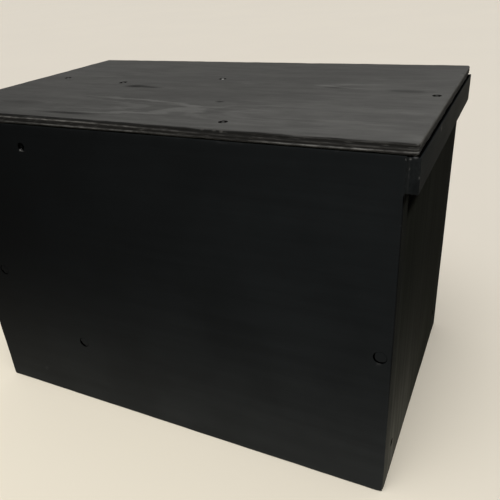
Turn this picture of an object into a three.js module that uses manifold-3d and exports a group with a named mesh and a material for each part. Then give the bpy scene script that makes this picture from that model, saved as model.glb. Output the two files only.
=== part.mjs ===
// Apple box: a closed plywood box, painted black, that is stood or sat on in a studio.
//
// Units are millimetres. The origin is on the floor at the middle of the footprint:
// +X runs along the box, +Y from the front to the back, +Z up.

import * as THREE from 'three';
import { mergeVertices } from 'three/addons/utils/BufferGeometryUtils.js';
import Module from 'manifold-3d';

const wasm = await Module();
wasm.setup();

// ---------------------------------------------------------------- driving dimensions

const LENGTH = 508;          // 20 in, over the two grip strips
const DEPTH = 304.8;         // 12 in
const HEIGHT = 350;

const CLEARANCE = 0.3;       // air between two pieces that touch
const WALL = 18;             // plywood of the four walls
const LID = 9;               // plywood of the top
const BASE = 12;             // plywood of the bottom
const LID_SEAM = 0.6;        // dark line under the lid
const LID_INSET_END = 2.2;   // lid end, inside the grip strip's outer face
const LID_INSET_SIDE = 0.6;  // lid front and back, inside the walls' faces

const STRIP_THICK = 9.5;     // grip strip under each end of the lid
const STRIP_TALL = 28;
const POST = 30;             // square corner post
const CLEAT_TALL = 20;       // cleat that the lid is screwed to
const CLEAT_WIDE = POST;
const RIB = 27;              // upright board across the box
const RIB_LEFT_X = -117;     // the right rib mirrors it

const LID_CORNER = 3;        // round corners of the lid, seen from above
const LID_ARRIS = 1.6;       // worn edge of the lid
const WALL_CORNER = 1.5;     // front, back and grip strips
const WALL_ARRIS = 0.8;
const SIDE_CORNER = 0.8;     // side walls, whose ends butt against the long walls
const SIDE_ARRIS = 0.4;
const CORNER_SEGMENTS = 3;

// Wood screws with a flat head, and the turned plugs over the sunk ones
const HEAD_RADIUS = 4;
const HEAD_DEEP = 2.4;
const SHANK_RADIUS = 1.75;
const POINT_LONG = 4;
const LID_SCREW = 25;
const WALL_SCREW = 40;
const HEAD_SINK = 0.6;       // head below the surface where no plug covers it
const PLUG_RADIUS = 5.7;
const PLUG_THICK = 4.5;
const PLUG_SINK = 0.4;
const PLUG_ARRIS = 0.4;
const SIDE_SCREW_Y = 121.4;  // low on each side wall, into the corner posts
const SIDE_SCREW_Z = 37.3;
const HOLE_OVERSHOOT = 5;    // a drill starts above the surface
const ROUND_SIDES = 20;

// ---------------------------------------------------------------- derived levels and faces

const bodyTop = HEIGHT - LID - LID_SEAM;
const bodyHalfX = LENGTH / 2 - STRIP_THICK - CLEARANCE;
const bodyHalfY = DEPTH / 2;
const innerHalfX = bodyHalfX - WALL - CLEARANCE;
const innerHalfY = bodyHalfY - WALL - CLEARANCE;
const floorTop = BASE + CLEARANCE;
const cleatBottom = bodyTop - CLEAT_TALL;

// ---------------------------------------------------------------- materials

function paint(color, roughness) {
  return new THREE.MeshStandardMaterial({ color, roughness, metalness: 0 });
}

function lidPaint() {
  return paint(0x2b2b2a, 0.5);
}

function wallPaint() {
  return paint(0x191a1c, 0.62);
}

function fillerPaint() {
  return paint(0x1c1d1f, 0.6);
}

function bareTimber() {
  return paint(0xc9a878, 0.8);
}

function steel() {
  return new THREE.MeshStandardMaterial({ color: 0x3c3c3b, roughness: 0.45, metalness: 0.8 });
}

// ---------------------------------------------------------------- solid geometry

function toSolid(geometry) {
  const bare = geometry.clone();
  bare.deleteAttribute('normal');
  bare.deleteAttribute('uv');
  const merged = mergeVertices(bare);
  return new wasm.Manifold(new wasm.Mesh({
    numProp: 3,
    vertProperties: new Float32Array(merged.attributes.position.array),
    triVerts: new Uint32Array(merged.index.array),
  }));
}

function toGeometry(solid) {
  const mesh = solid.getMesh();
  const geometry = new THREE.BufferGeometry();
  geometry.setAttribute('position', new THREE.BufferAttribute(mesh.vertProperties, mesh.numProp));
  geometry.setIndex(new THREE.BufferAttribute(mesh.triVerts, 1));
  geometry.computeVertexNormals();
  return geometry;
}

function roundedRectangle(width, height, radius) {
  const x = width / 2;
  const y = height / 2;
  const shape = new THREE.Shape();
  shape.absarc(x - radius, y - radius, radius, 0, Math.PI / 2);
  shape.absarc(-x + radius, y - radius, radius, Math.PI / 2, Math.PI);
  shape.absarc(-x + radius, -y + radius, radius, Math.PI, 1.5 * Math.PI);
  shape.absarc(x - radius, -y + radius, radius, 1.5 * Math.PI, 2 * Math.PI);
  shape.closePath();
  return shape;
}

// A flat board centred on the origin: width along X, height along Y, thickness along Z,
// with its corners rounded and the arrises of both faces eased.
function board(width, height, thick, corner, arris, arrisSegments) {
  const outline = roundedRectangle(width - 2 * arris, height - 2 * arris, corner - arris);
  const geometry = new THREE.ExtrudeGeometry(outline, {
    depth: thick - 2 * arris,
    curveSegments: CORNER_SEGMENTS,
    bevelEnabled: true,
    bevelThickness: arris,
    bevelSize: arris,
    bevelSegments: arrisSegments,
  });
  return geometry.translate(0, 0, arris - thick / 2);
}

// Stands a flat board on its long edge: the thickness is along Y, or along X for a side.
function standing(geometry) {
  return geometry.rotateX(Math.PI / 2);
}

function standingSideways(geometry) {
  return standing(geometry).rotateZ(Math.PI / 2);
}

function lidBoard() {
  const width = LENGTH - 2 * LID_INSET_END;
  const height = DEPTH - 2 * LID_INSET_SIDE;
  return board(width, height, LID, LID_CORNER, LID_ARRIS, 2);
}

function longWallBoard() {
  return standing(board(2 * bodyHalfX, bodyTop, WALL, WALL_CORNER, WALL_ARRIS, 1));
}

function sideWallBoard() {
  return standingSideways(board(2 * innerHalfY, bodyTop, WALL, SIDE_CORNER, SIDE_ARRIS, 1));
}

function stripBoard() {
  return standingSideways(board(DEPTH, STRIP_TALL, STRIP_THICK, WALL_CORNER, WALL_ARRIS, 1));
}

function baseBoard() {
  return new THREE.BoxGeometry(2 * innerHalfX, 2 * innerHalfY, BASE);
}

function postTimber() {
  return new THREE.BoxGeometry(POST, POST, bodyTop - floorTop);
}

function longCleatTimber() {
  return new THREE.BoxGeometry(2 * (innerHalfX - POST - CLEARANCE), CLEAT_WIDE, CLEAT_TALL);
}

function shortCleatTimber() {
  return new THREE.BoxGeometry(CLEAT_WIDE, 2 * (innerHalfY - POST - CLEARANCE), CLEAT_TALL);
}

// A rib fills the box from wall to wall, with its top corners notched over the long cleats.
function ribTimber() {
  const tall = bodyTop - floorTop;
  let rib = toSolid(new THREE.BoxGeometry(RIB, 2 * innerHalfY, tall));
  const notchWide = CLEAT_WIDE + CLEARANCE;
  const notchTall = CLEAT_TALL + CLEARANCE;
  for (const side of [-1, 1]) {
    const notch = new THREE.BoxGeometry(2 * RIB, 2 * notchWide, 2 * notchTall);
    rib = rib.subtract(toSolid(notch.translate(0, side * innerHalfY, tall / 2)));
  }
  return toGeometry(rib);
}

// ---------------------------------------------------------------- where the screws go

const UP = new THREE.Vector3(0, 0, 1);
const FRONT = new THREE.Vector3(0, -1, 0);
const BACK = new THREE.Vector3(0, 1, 0);
const LEFT = new THREE.Vector3(-1, 0, 0);
const RIGHT = new THREE.Vector3(1, 0, 0);

// A screw is one record: the point where its axis meets the surface, the way its head
// faces, its length, whether a plug covers it, and the two pieces that it joins.
function lidScrews() {
  const rows = [
    { name: 'left', x: -212.1, y: 19.6, into: 'top_cleat_left' },
    { name: 'rib_left', x: -115.2, y: 4.9, into: 'rib_left' },
    { name: 'rib_centre', x: -1.9, y: 40.6, into: 'rib_centre' },
    { name: 'front', x: 88.3, y: -129.9, into: 'top_cleat_front' },
    { name: 'right', x: 240.3, y: -4.4, into: 'side_panel_right' },
  ];
  return rows.map(({ name, x, y, into }) => ({
    name: `top_${name}`,
    at: new THREE.Vector3(x, y, HEIGHT),
    facing: UP,
    long: LID_SCREW,
    plugged: false,
    joins: ['top_panel', into],
  }));
}

function longWallScrews(wall, facing) {
  const rows = [
    { name: 'side_right', x: 234.1, z: 161.9, into: 'side_panel_right', plugged: true },
    { name: 'post_left', x: -205.2, z: 165, into: `corner_post_${wall}_left`, plugged: true },
    { name: 'rib_low', x: -106.2, z: 86.8, into: 'rib_left', plugged: true },
    { name: 'rib_high', x: -127.8, z: 318.5, into: 'rib_left', plugged: false },
  ];
  return rows.map(({ name, x, z, into, plugged }) => ({
    name: `${wall}_${name}`,
    at: new THREE.Vector3(x, facing.y * bodyHalfY, z),
    facing,
    long: WALL_SCREW,
    plugged,
    joins: [`${wall}_panel`, into],
  }));
}

function sideWallScrews(wall, facing) {
  return [['front', -1], ['back', 1]].map(([end, sign]) => ({
    name: `${wall}_${end}`,
    at: new THREE.Vector3(facing.x * bodyHalfX, sign * SIDE_SCREW_Y, SIDE_SCREW_Z),
    facing,
    long: WALL_SCREW,
    plugged: false,
    joins: [`side_panel_${wall}`, `corner_post_${end}_${wall}`],
  }));
}

const screws = [
  ...lidScrews(),
  ...longWallScrews('front', FRONT),
  ...longWallScrews('back', BACK),
  ...sideWallScrews('left', LEFT),
  ...sideWallScrews('right', RIGHT),
];

// ---------------------------------------------------------------- screws, plugs and their holes

// The profiles run up the axis from the point of the screw. The surface that the screw
// goes in at is y = 0, and the screw hangs below it.
function profile(...points) {
  return points.map(([radius, y]) => new THREE.Vector2(radius, y));
}

function headTop(screw) {
  return screw.plugged ? -(PLUG_SINK + PLUG_THICK + CLEARANCE) : -HEAD_SINK;
}

function screwProfile(screw) {
  const top = headTop(screw);
  return profile(
    [0, top - screw.long],
    [SHANK_RADIUS, top - screw.long + POINT_LONG],
    [SHANK_RADIUS, top - HEAD_DEEP],
    [HEAD_RADIUS, top],
    [0, top],
  );
}

function plugProfile() {
  return profile(
    [0, -PLUG_SINK - PLUG_THICK],
    [PLUG_RADIUS, -PLUG_SINK - PLUG_THICK],
    [PLUG_RADIUS, -PLUG_SINK - PLUG_ARRIS],
    [PLUG_RADIUS - PLUG_ARRIS, -PLUG_SINK],
    [0, -PLUG_SINK],
  );
}

// The hole is the screw with clearance all round, and a bore from the head to the open air.
function holeProfile(screw) {
  const top = headTop(screw) - CLEARANCE;
  const bore = screw.plugged ? PLUG_RADIUS + CLEARANCE : HEAD_RADIUS + CLEARANCE;
  const step = screw.plugged ? [[bore, top]] : [];
  return profile(
    [0, top - screw.long],
    [SHANK_RADIUS + CLEARANCE, top - screw.long + POINT_LONG],
    [SHANK_RADIUS + CLEARANCE, top - HEAD_DEEP],
    [HEAD_RADIUS + CLEARANCE, top],
    ...step,
    [bore, HOLE_OVERSHOOT],
    [0, HOLE_OVERSHOOT],
  );
}

function turned(points) {
  return new THREE.LatheGeometry(points, ROUND_SIDES);
}

// Turns and moves a turned piece, whose axis is Y, to the screw's place.
function placement(screw) {
  const turn = new THREE.Quaternion().setFromUnitVectors(new THREE.Vector3(0, 1, 0), screw.facing);
  return new THREE.Matrix4().compose(screw.at, turn, new THREE.Vector3(1, 1, 1));
}

// Drills every screw hole that a piece takes part in. The matrix places the piece.
function drilled(name, geometry, matrix) {
  const toLocal = matrix.clone().invert();
  let solid = toSolid(geometry);
  for (const screw of screws.filter(({ joins }) => joins.includes(name))) {
    const hole = turned(holeProfile(screw));
    hole.applyMatrix4(toLocal.clone().multiply(placement(screw)));
    solid = solid.subtract(toSolid(hole));
  }
  return toGeometry(solid);
}

// ---------------------------------------------------------------- assembly

const box = new THREE.Group();

function addPiece(name, geometry, material, x, y, z) {
  const matrix = new THREE.Matrix4().makeTranslation(x, y, z);
  const mesh = new THREE.Mesh(drilled(name, geometry, matrix), material);
  mesh.name = name;
  mesh.position.set(x, y, z);
  box.add(mesh);
}

function addWalls() {
  const wallY = bodyHalfY - WALL / 2;
  const wallX = bodyHalfX - WALL / 2;
  const middle = bodyTop / 2;
  addPiece('front_panel', longWallBoard(), wallPaint(), 0, -wallY, middle);
  addPiece('back_panel', longWallBoard(), wallPaint(), 0, wallY, middle);
  addPiece('side_panel_left', sideWallBoard(), wallPaint(), -wallX, 0, middle);
  addPiece('side_panel_right', sideWallBoard(), wallPaint(), wallX, 0, middle);
}

function addGripStrips() {
  const stripX = (LENGTH - STRIP_THICK) / 2;
  const stripZ = bodyTop - STRIP_TALL / 2;
  addPiece('grip_strip_left', stripBoard(), wallPaint(), -stripX, 0, stripZ);
  addPiece('grip_strip_right', stripBoard(), wallPaint(), stripX, 0, stripZ);
}

function addCornerPosts() {
  const postZ = (bodyTop + floorTop) / 2;
  for (const [end, signY] of [['front', -1], ['back', 1]]) {
    for (const [side, signX] of [['left', -1], ['right', 1]]) {
      const x = signX * (innerHalfX - POST / 2);
      const y = signY * (innerHalfY - POST / 2);
      addPiece(`corner_post_${end}_${side}`, postTimber(), bareTimber(), x, y, postZ);
    }
  }
}

function addCleats() {
  const cleatX = innerHalfX - CLEAT_WIDE / 2;
  const cleatY = innerHalfY - CLEAT_WIDE / 2;
  const cleatZ = cleatBottom + CLEAT_TALL / 2;
  addPiece('top_cleat_front', longCleatTimber(), bareTimber(), 0, -cleatY, cleatZ);
  addPiece('top_cleat_back', longCleatTimber(), bareTimber(), 0, cleatY, cleatZ);
  addPiece('top_cleat_left', shortCleatTimber(), bareTimber(), -cleatX, 0, cleatZ);
  addPiece('top_cleat_right', shortCleatTimber(), bareTimber(), cleatX, 0, cleatZ);
}

function addRibs() {
  const ribZ = (bodyTop + floorTop) / 2;
  for (const [name, x] of [['rib_left', RIB_LEFT_X], ['rib_centre', 0], ['rib_right', -RIB_LEFT_X]]) {
    addPiece(name, ribTimber(), bareTimber(), x, 0, ribZ);
  }
}

function addTurned(name, points, material, screw) {
  const mesh = new THREE.Mesh(toGeometry(toSolid(turned(points))), material);
  mesh.name = name;
  placement(screw).decompose(mesh.position, mesh.quaternion, mesh.scale);
  box.add(mesh);
}

function addFasteners() {
  for (const screw of screws) {
    addTurned(`screw_${screw.name}`, screwProfile(screw), steel(), screw);
    if (screw.plugged) {
      addTurned(`plug_${screw.name}`, plugProfile(), fillerPaint(), screw);
    }
  }
}

addPiece('top_panel', lidBoard(), lidPaint(), 0, 0, HEIGHT - LID / 2);
addWalls();
addPiece('base_panel', baseBoard(), bareTimber(), 0, 0, BASE / 2);
addGripStrips();
addCornerPosts();
addCleats();
addRibs();
addFasteners();

export default box;
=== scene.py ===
import functools
import math

import bmesh
import bpy
import numpy as np
from mathutils import Matrix, Vector


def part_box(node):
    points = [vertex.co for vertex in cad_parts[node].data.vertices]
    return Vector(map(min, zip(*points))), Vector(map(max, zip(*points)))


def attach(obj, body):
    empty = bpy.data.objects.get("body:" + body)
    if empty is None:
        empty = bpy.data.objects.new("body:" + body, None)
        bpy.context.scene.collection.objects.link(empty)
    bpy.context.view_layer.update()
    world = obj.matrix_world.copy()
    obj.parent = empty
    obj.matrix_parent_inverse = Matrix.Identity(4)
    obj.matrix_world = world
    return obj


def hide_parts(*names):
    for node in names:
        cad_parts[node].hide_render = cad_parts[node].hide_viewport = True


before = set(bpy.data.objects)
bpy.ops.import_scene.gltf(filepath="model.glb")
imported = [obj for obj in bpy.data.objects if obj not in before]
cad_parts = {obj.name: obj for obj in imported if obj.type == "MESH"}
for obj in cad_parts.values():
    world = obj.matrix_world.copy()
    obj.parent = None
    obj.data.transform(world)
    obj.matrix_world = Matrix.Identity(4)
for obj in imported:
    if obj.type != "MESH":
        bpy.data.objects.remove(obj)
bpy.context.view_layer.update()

MM = 0.001
UP = Vector((0, 0, 1))
X, Y, Z = range(3)

# ---------------------------------------- driving dimensions, mm

# Round corners, seen square to the broad face, and worn arrises
LID_CORNER = 3.2
LID_ARRIS = 1.7
WALL_CORNER = 1.0
WALL_ARRIS = 0.8
STRIP_ARRIS = 0.5
SIDE_CORNER = 0.9
SIDE_ARRIS = 0.6
BASE_CORNER = 1.0
BASE_ARRIS = 0.8
WARP = 0.09

# Layers of plywood
LID_PLIES = 5
STRIP_PLIES = 5
WALL_PLIES = 11
BASE_PLIES = 7

# Wood screws: a flat head with a round recess and a pin in it, and a threaded shank
HEAD_RADIUS = 3.9
HEAD_DEEP = 2.4
HEAD_RIM = 0.12
SHANK_RADIUS = 1.4
SHANK_STEP = 0.35  # between two rings of the shank
THREAD_HIGH = 0.33
THREAD_PITCH = 1.9
POINT_LONG = 4.0
RECESS_RADIUS = 3.6
RECESS_PIN = 1.4
RECESS_DEEP = 2.0
PAINT_BLOB = 0.5  # paint that stands on the pin of a lid screw
SCREW_SIDES = 28

# Their holes
HOLE_GAP = 0.15
SHANK_GAP = 0.3
LIP = 0.30  # where the mouth of a hole flares
OPEN_AIR = 3  # how far a drill reaches out of the board
HOLE_SIDES = 40

# Wooden plugs
PLUG_HOLE_RADIUS = 6.0
PLUG_RADIUS = 5.75
PLUG_RIM = 0.2
PLUG_SHIFT = 0.2  # off the middle of the hole, away from the break
PLUG_BREAK_DEEP = 1.6
PLUG_SIDES = 48

SEAM_BEAD = 1.1  # radius of the paint between a wall and a grip strip
FLOOR_HALF = 60000
FLOOR_BELOW = 0.35  # the uneven bottom edges reach a little under z = 0

# ---------------------------------------- camera, light and floor

CAMERA_PLACE = Vector((0.31110, -0.53215, 0.46680))
CAMERA_LOOK = Vector((-0.40383, 0.79051, -0.46044))
CAMERA_ROLL = math.radians(-3.764)
LENS = 39.97


def link(name, data):
    made = bpy.data.objects.new(name, data)
    bpy.context.scene.collection.objects.link(made)
    return made


def add_camera():
    data = bpy.data.cameras.new("camera")
    data.sensor_width = 36.0
    data.lens = LENS
    camera = link("camera", data)
    forward = CAMERA_LOOK.normalized()
    level = forward.cross(UP).normalized()
    upright = level.cross(forward)
    right = level * math.cos(CAMERA_ROLL) + upright * math.sin(CAMERA_ROLL)
    above = right.cross(forward)
    turn = Matrix((right, above, -forward)).transposed()
    camera.matrix_world = Matrix.Translation(CAMERA_PLACE) @ turn.to_4x4()
    bpy.context.scene.camera = camera


def add_soft_light(coming_from, spread, strength, color):
    """A broad even light from far away, as from a lit ceiling."""
    data = bpy.data.lights.new("key", "SUN")
    data.angle = math.radians(spread)
    data.energy = strength
    data.color = color
    lamp = link("key", data)
    lamp.matrix_world = (-Vector(coming_from)).to_track_quat("-Z", "Y").to_matrix().to_4x4()


def add_world(color, horizon, zenith, shaded_way):
    """An even studio with walls of one brightness and a ceiling of another. The shaded part
    begins lower down on the side that shaded_way points to."""
    world = bpy.data.worlds.new("studio")
    world.use_nodes = True
    tree = world.node_tree
    direction = tree.nodes.new("ShaderNodeTexCoord").outputs["Generated"]
    tilted = vector_math(tree, "DOT_PRODUCT", {0: direction, 1: (*shaded_way, 1.0)})[1]
    strength = ramp(tree, tilted, 0.05, 0.6, horizon, zenith)
    background = tree.nodes["Background"]
    background.inputs["Color"].default_value = (*color, 1)
    plug_in(tree, background.inputs["Strength"], strength)
    bpy.context.scene.world = world


# ---------------------------------------- shader helpers


def new_material(name):
    material = bpy.data.materials.new(name)
    material.use_nodes = True
    tree = material.node_tree
    return material, tree, tree.nodes["Principled BSDF"]


def add_node(tree, kind, inputs, **settings):
    made = tree.nodes.new(kind)
    for key, value in settings.items():
        setattr(made, key, value)
    for key, value in inputs.items():
        plug_in(tree, made.inputs[key], value)
    return made


def plug_in(tree, socket, value):
    if isinstance(value, bpy.types.NodeSocket):
        tree.links.new(value, socket)
    else:
        socket.default_value = value


def math_of(tree, operation, a, b=0.0):
    return add_node(tree, "ShaderNodeMath", {0: a, 1: b}, operation=operation).outputs[0]


def vector_math(tree, operation, inputs):
    """The outputs of a vector node: a vector, then the value of a length or a dot product."""
    return add_node(tree, "ShaderNodeVectorMath", inputs, operation=operation).outputs


def product(tree, *values):
    return functools.reduce(lambda a, b: math_of(tree, "MULTIPLY", a, b), values)


def total(tree, *values):
    return functools.reduce(lambda a, b: math_of(tree, "ADD", a, b), values)


def ramp(tree, value, start, end, low=0.0, high=1.0):
    """low below start, high above end, and smooth between them; start may be above end."""
    if start > end:
        start, end, low, high = end, start, high, low
    inputs = {"Value": value, "From Min": start, "From Max": end, "To Min": low, "To Max": high}
    return add_node(tree, "ShaderNodeMapRange", inputs, interpolation_type="SMOOTHSTEP").outputs[0]


def noise(tree, place, sizes, detail=3.0, roughness=0.55, distortion=0.0):
    """Noise whose features are about sizes millimetres along each axis, around 0.5."""
    scale = tuple(1.0 / (size * MM) for size in sizes)
    stretched = vector_math(tree, "MULTIPLY", {0: place, 1: scale})[0]
    inputs = {
        "Vector": stretched,
        "Scale": 1.0,
        "Detail": detail,
        "Roughness": roughness,
        "Distortion": distortion,
    }
    return add_node(tree, "ShaderNodeTexNoise", inputs).outputs[0]


def blend(tree, factor, a, b):
    """Colour a where factor is 0, and b where it is 1."""
    made = tree.nodes.new("ShaderNodeMix")
    made.data_type = "RGBA"
    colors = {socket.name: socket for socket in made.inputs if socket.type == "RGBA"}
    plug_in(tree, made.inputs["Factor"], factor)
    plug_in(tree, colors["A"], as_color(a))
    plug_in(tree, colors["B"], as_color(b))
    return next(socket for socket in made.outputs if socket.type == "RGBA")


def as_color(value):
    return value if isinstance(value, bpy.types.NodeSocket) else (*value, 1.0)


def attribute(tree, name):
    return add_node(tree, "ShaderNodeAttribute", {}, attribute_name=name).outputs["Fac"]


def place_of(tree):
    return tree.nodes.new("ShaderNodeTexCoord").outputs["Object"]


def parts_of(tree, vector):
    return add_node(tree, "ShaderNodeSeparateXYZ", {0: vector}).outputs


def bump(tree, heights):
    """Adds up (height 0 to 1, millimetres) pairs into one normal."""
    normal = None
    for height, depth in heights:
        inputs = {"Height": height, "Distance": depth * MM, "Strength": 1.0}
        if normal is not None:
            inputs["Normal"] = normal
        normal = add_node(tree, "ShaderNodeBump", inputs).outputs[0]
    return normal


def dress(tree, shader, tone, rough, gloss, heights=()):
    """Gives a shader its colour, roughness, specular level and relief."""
    plug_in(tree, shader.inputs["Base Color"], tone)
    plug_in(tree, shader.inputs["Roughness"], rough)
    shader.inputs["Specular IOR Level"].default_value = gloss
    if heights:
        plug_in(tree, shader.inputs["Normal"], bump(tree, heights))


def scaled(tree, color, factor):
    return vector_math(tree, "SCALE", {0: color, "Scale": factor})[0]


def varied(tree, tone, rows):
    """A tone scaled by patterns: rows of (pattern, start, end, factor below, factor above)."""
    for pattern, *limits in rows:
        tone = scaled(tree, tone, ramp(tree, pattern, *limits))
    return tone


def darken_by_painted_shade(tree, tone):
    """Nearly black where the painted_shade attribute is 1: painted shade and shadow under the grip
    strips, in the screw holes and around the plugs.
    """
    return scaled(tree, tone, ramp(tree, attribute(tree, "painted_shade"), 0.0, 1.0, 1.0, 0.02))


def along_grain(along, long, wide):
    """Sizes for noise that is long on one axis and wide on the two others."""
    return tuple(long if axis == along else wide for axis in (X, Y, Z))


def from_point(tree, place, x, y, long, wide):
    """The way from a point in plan, as shares of an ellipse's half length and half width."""
    moved = vector_math(tree, "ADD", {0: place, 1: (-x * MM, -y * MM, 0)})[0]
    shares = (1 / (long * MM), 1 / (wide * MM), 0)
    return vector_math(tree, "MULTIPLY", {0: moved, 1: shares})[0]


def length_of(tree, vector):
    return vector_math(tree, "LENGTH", {0: vector})[1]


def cathedrals(tree, place, rows):
    """Nested arches of peeled veneer: rows of (x, y, half length, half width, strength, arches).
    The arches show towards the tip, which points to -x where half length is negative."""
    ragged = noise(tree, place, (40, 12, 12))
    shown = 0.0
    for x, y, long, wide, strength, arches in rows:
        away = from_point(tree, place, x, y, long, wide)
        reach = total(tree, length_of(tree, away), ramp(tree, ragged, 0.3, 0.7, -0.10, 0.10))
        lines = math_of(tree, "SINE", product(tree, reach, arches * 2 * math.pi))
        lines = ramp(tree, lines, -0.2, 1.0)
        window = product(tree, ramp(tree, reach, 1.3, 1.05), ramp(tree, reach, 0.35, 0.8))
        tip = ramp(tree, parts_of(tree, away)["X"], -0.3, 0.5)
        shown = math_of(tree, "MAXIMUM", shown, product(tree, lines, window, tip, strength))
    return shown


def spots(tree, place, rows):
    """The strongest of several soft ellipses: rows of (x, y, half length, half width, strength)."""
    shown = 0.0
    for x, y, long, wide, strength in rows:
        reach = length_of(tree, from_point(tree, place, x, y, long, wide))
        shown = math_of(tree, "MAXIMUM", shown, ramp(tree, reach, 1.0, 0.1, 0.0, strength))
    return shown


# ---------------------------------------- materials

# Places on the lid in millimetres: (x, y, half length, half width, strength)
LID_KNOTS = [
    (-84, -12, 22, 10, 1.0),
    (-66, -14, 26, 5, 0.9),
    (50, -64, 6, 4, 0.9),
    (213, 9, 30, 10, 0.45),
    (-77, -133, 46, 7, 0.8),
    (140, 14, 16, 5, 0.5),
    (-165, -105, 40, 12, 0.35),
]
LID_PALE = [
    (-46, -14, 24, 6, 1.0),
    (-103, -14, 10, 5, 0.5),
    (150, 30, 46, 5, 0.5),
    (96, -92, 34, 20, 0.45),
    (150, -120, 100, 7, 0.5),
    (40, 25, 25, 10, 0.3),
    (170, 60, 24, 12, 0.35),
]
# Arches in the figure: (x, y, half length, half width, strength, arches)
LID_ARCHES = [
    (-110, -98, 145, 30, 1.0, 2.2),
    (190, 24, -76, 13, 1.0, 1.6),
    (150, -100, -100, 30, 0.6, 2.0),
]
# Tones of the lid. The two paint tones are grey partly as painted sheen, for the sheen of the top at
# a grazing angle.
FRESH_PAINT_AND_SHEEN = (0.0435, 0.0435, 0.042)
TRODDEN_PAINT_AND_SHEEN = (0.0745, 0.0745, 0.0725)
ARCH_TONE = (0.135, 0.135, 0.131)
PALE_TONE = (0.14, 0.14, 0.136)
KNOT_TONE = (0.004, 0.004, 0.004)
RIM_TONE = (0.007, 0.007, 0.007)
STREAK_AND_HIGHLIGHT_TONE = (0.17, 0.17, 0.167)
SPLINTER_TONE = (0.13, 0.13, 0.127)
RUBBED_TONE = (0.10, 0.098, 0.092)
LID_CHIP_TONE = (0.16, 0.158, 0.15)


def figure_height(tree, place, knots):
    """How far the surface is from the pith: its contour lines are the figure of peeled veneer."""
    slow = noise(tree, place, (420, 95, 95), detail=2.0)
    wavy = noise(tree, place, (150, 26, 26), detail=2.0)
    return total(tree, product(tree, slow, 5.5), product(tree, wavy, 0.9), product(tree, knots, 2.2))


def lid_paint():
    """Satin black over open-grained softwood plywood, rubbed grey where people sit and stand, and
    made lighter all over with painted sheen.
    """
    material, tree, shader = new_material("lid_paint_satin")
    place = place_of(tree)
    wear = attribute(tree, "wear")
    streak = attribute(tree, "streak")
    edge = attribute(tree, "edge_face")
    knots = spots(tree, place, LID_KNOTS)
    pale = spots(tree, place, LID_PALE)
    arches = cathedrals(tree, place, LID_ARCHES)

    contours = math_of(tree, "SINE", product(tree, figure_height(tree, place, knots), 11.0))
    contours = ramp(tree, contours, -1.0, 1.0)
    grain = noise(tree, place, (38, 1.1, 1.1), detail=4.0)
    brush = noise(tree, place, (95, 3.4, 3.4))
    cloud = noise(tree, place, (70, 42, 42), detail=4.0)
    mottle = noise(tree, place, (24, 10, 10), detail=5.0, roughness=0.6)
    patchy = ramp(tree, noise(tree, place, (26, 7, 7), detail=5.0, roughness=0.65), 0.42, 0.68)

    x, y = (parts_of(tree, place)[axis] for axis in "XY")
    trodden = ramp(tree, math_of(tree, "SUBTRACT", x, y), 0.0, 0.45)
    spared = ramp(tree, total(tree, x, y), -0.15, -0.42)
    # Base tones: rubbed grey where trodden, with painted sheen in both.
    tone = blend(tree, trodden, FRESH_PAINT_AND_SHEEN, TRODDEN_PAINT_AND_SHEEN)
    patterns = [
        (spared, 0.0, 1.0, 1.0, 0.74),
        (cloud, 0.3, 0.75, 0.86, 1.22),
        (mottle, 0.3, 0.7, 0.93, 1.08),
        (contours, 0.0, 1.0, 0.94, 1.06),
        (brush, 0.35, 0.75, 0.94, 1.13),
        (grain, 0.35, 0.75, 0.93, 1.13),
    ]
    tone = varied(tree, tone, patterns)
    tone = blend(tree, product(tree, arches, 0.38), tone, ARCH_TONE)
    tone = blend(tree, product(tree, pale, patchy, 0.6), tone, PALE_TONE)
    tone = blend(tree, product(tree, knots, 0.9), tone, KNOT_TONE)
    # Dark edge faces, as paint soaked into end grain, and painted shade along the front and back
    # arrises.
    rim = math_of(tree, "MAXIMUM", edge, attribute(tree, "arris"))
    tone = blend(tree, product(tree, rim, 0.9), tone, RIM_TONE)
    broken = ramp(tree, noise(tree, place, (7, 40, 1.6), detail=4.0), 0.36, 0.6, 0.45, 1.1)
    # Pale streaks on the ledges of the front edge: rubbed paint and painted highlight.
    tone = blend(tree, product(tree, streak, broken, 0.95), tone, STREAK_AND_HIGHLIGHT_TONE)
    splinters = ramp(tree, noise(tree, place, (13, 40, 0.8), detail=4.0), 0.56, 0.70)
    tone = blend(tree, product(tree, edge, splinters, 0.30), tone, SPLINTER_TONE)
    rubbed = product(tree, ramp(tree, wear, 0.55, 0.95), ramp(tree, grain, 0.5, 0.68))
    tone = blend(tree, product(tree, rubbed, 0.35), tone, RUBBED_TONE)
    tone = darken_by_painted_shade(tree, tone)
    tone = blend(tree, product(tree, attribute(tree, "chip"), 0.9), tone, LID_CHIP_TONE)

    smeared = ramp(tree, cloud, 0.25, 0.75, 0.42, 0.54)
    open_grain = product(tree, ramp(tree, grain, 0.4, 0.7), 0.06)
    rough = total(tree, smeared, open_grain, product(tree, rim, 0.40), product(tree, knots, 0.15))
    heights = [(contours, 0.05), (grain, 0.10), (brush, 0.12), (knots, -0.10)]
    dress(tree, shader, tone, rough, 0.05, heights)
    return material


# Tones of the walls
SCUFF_TONE = (0.060, 0.061, 0.063)
WALL_CHIP_TONE = (0.22, 0.22, 0.22)


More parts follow.
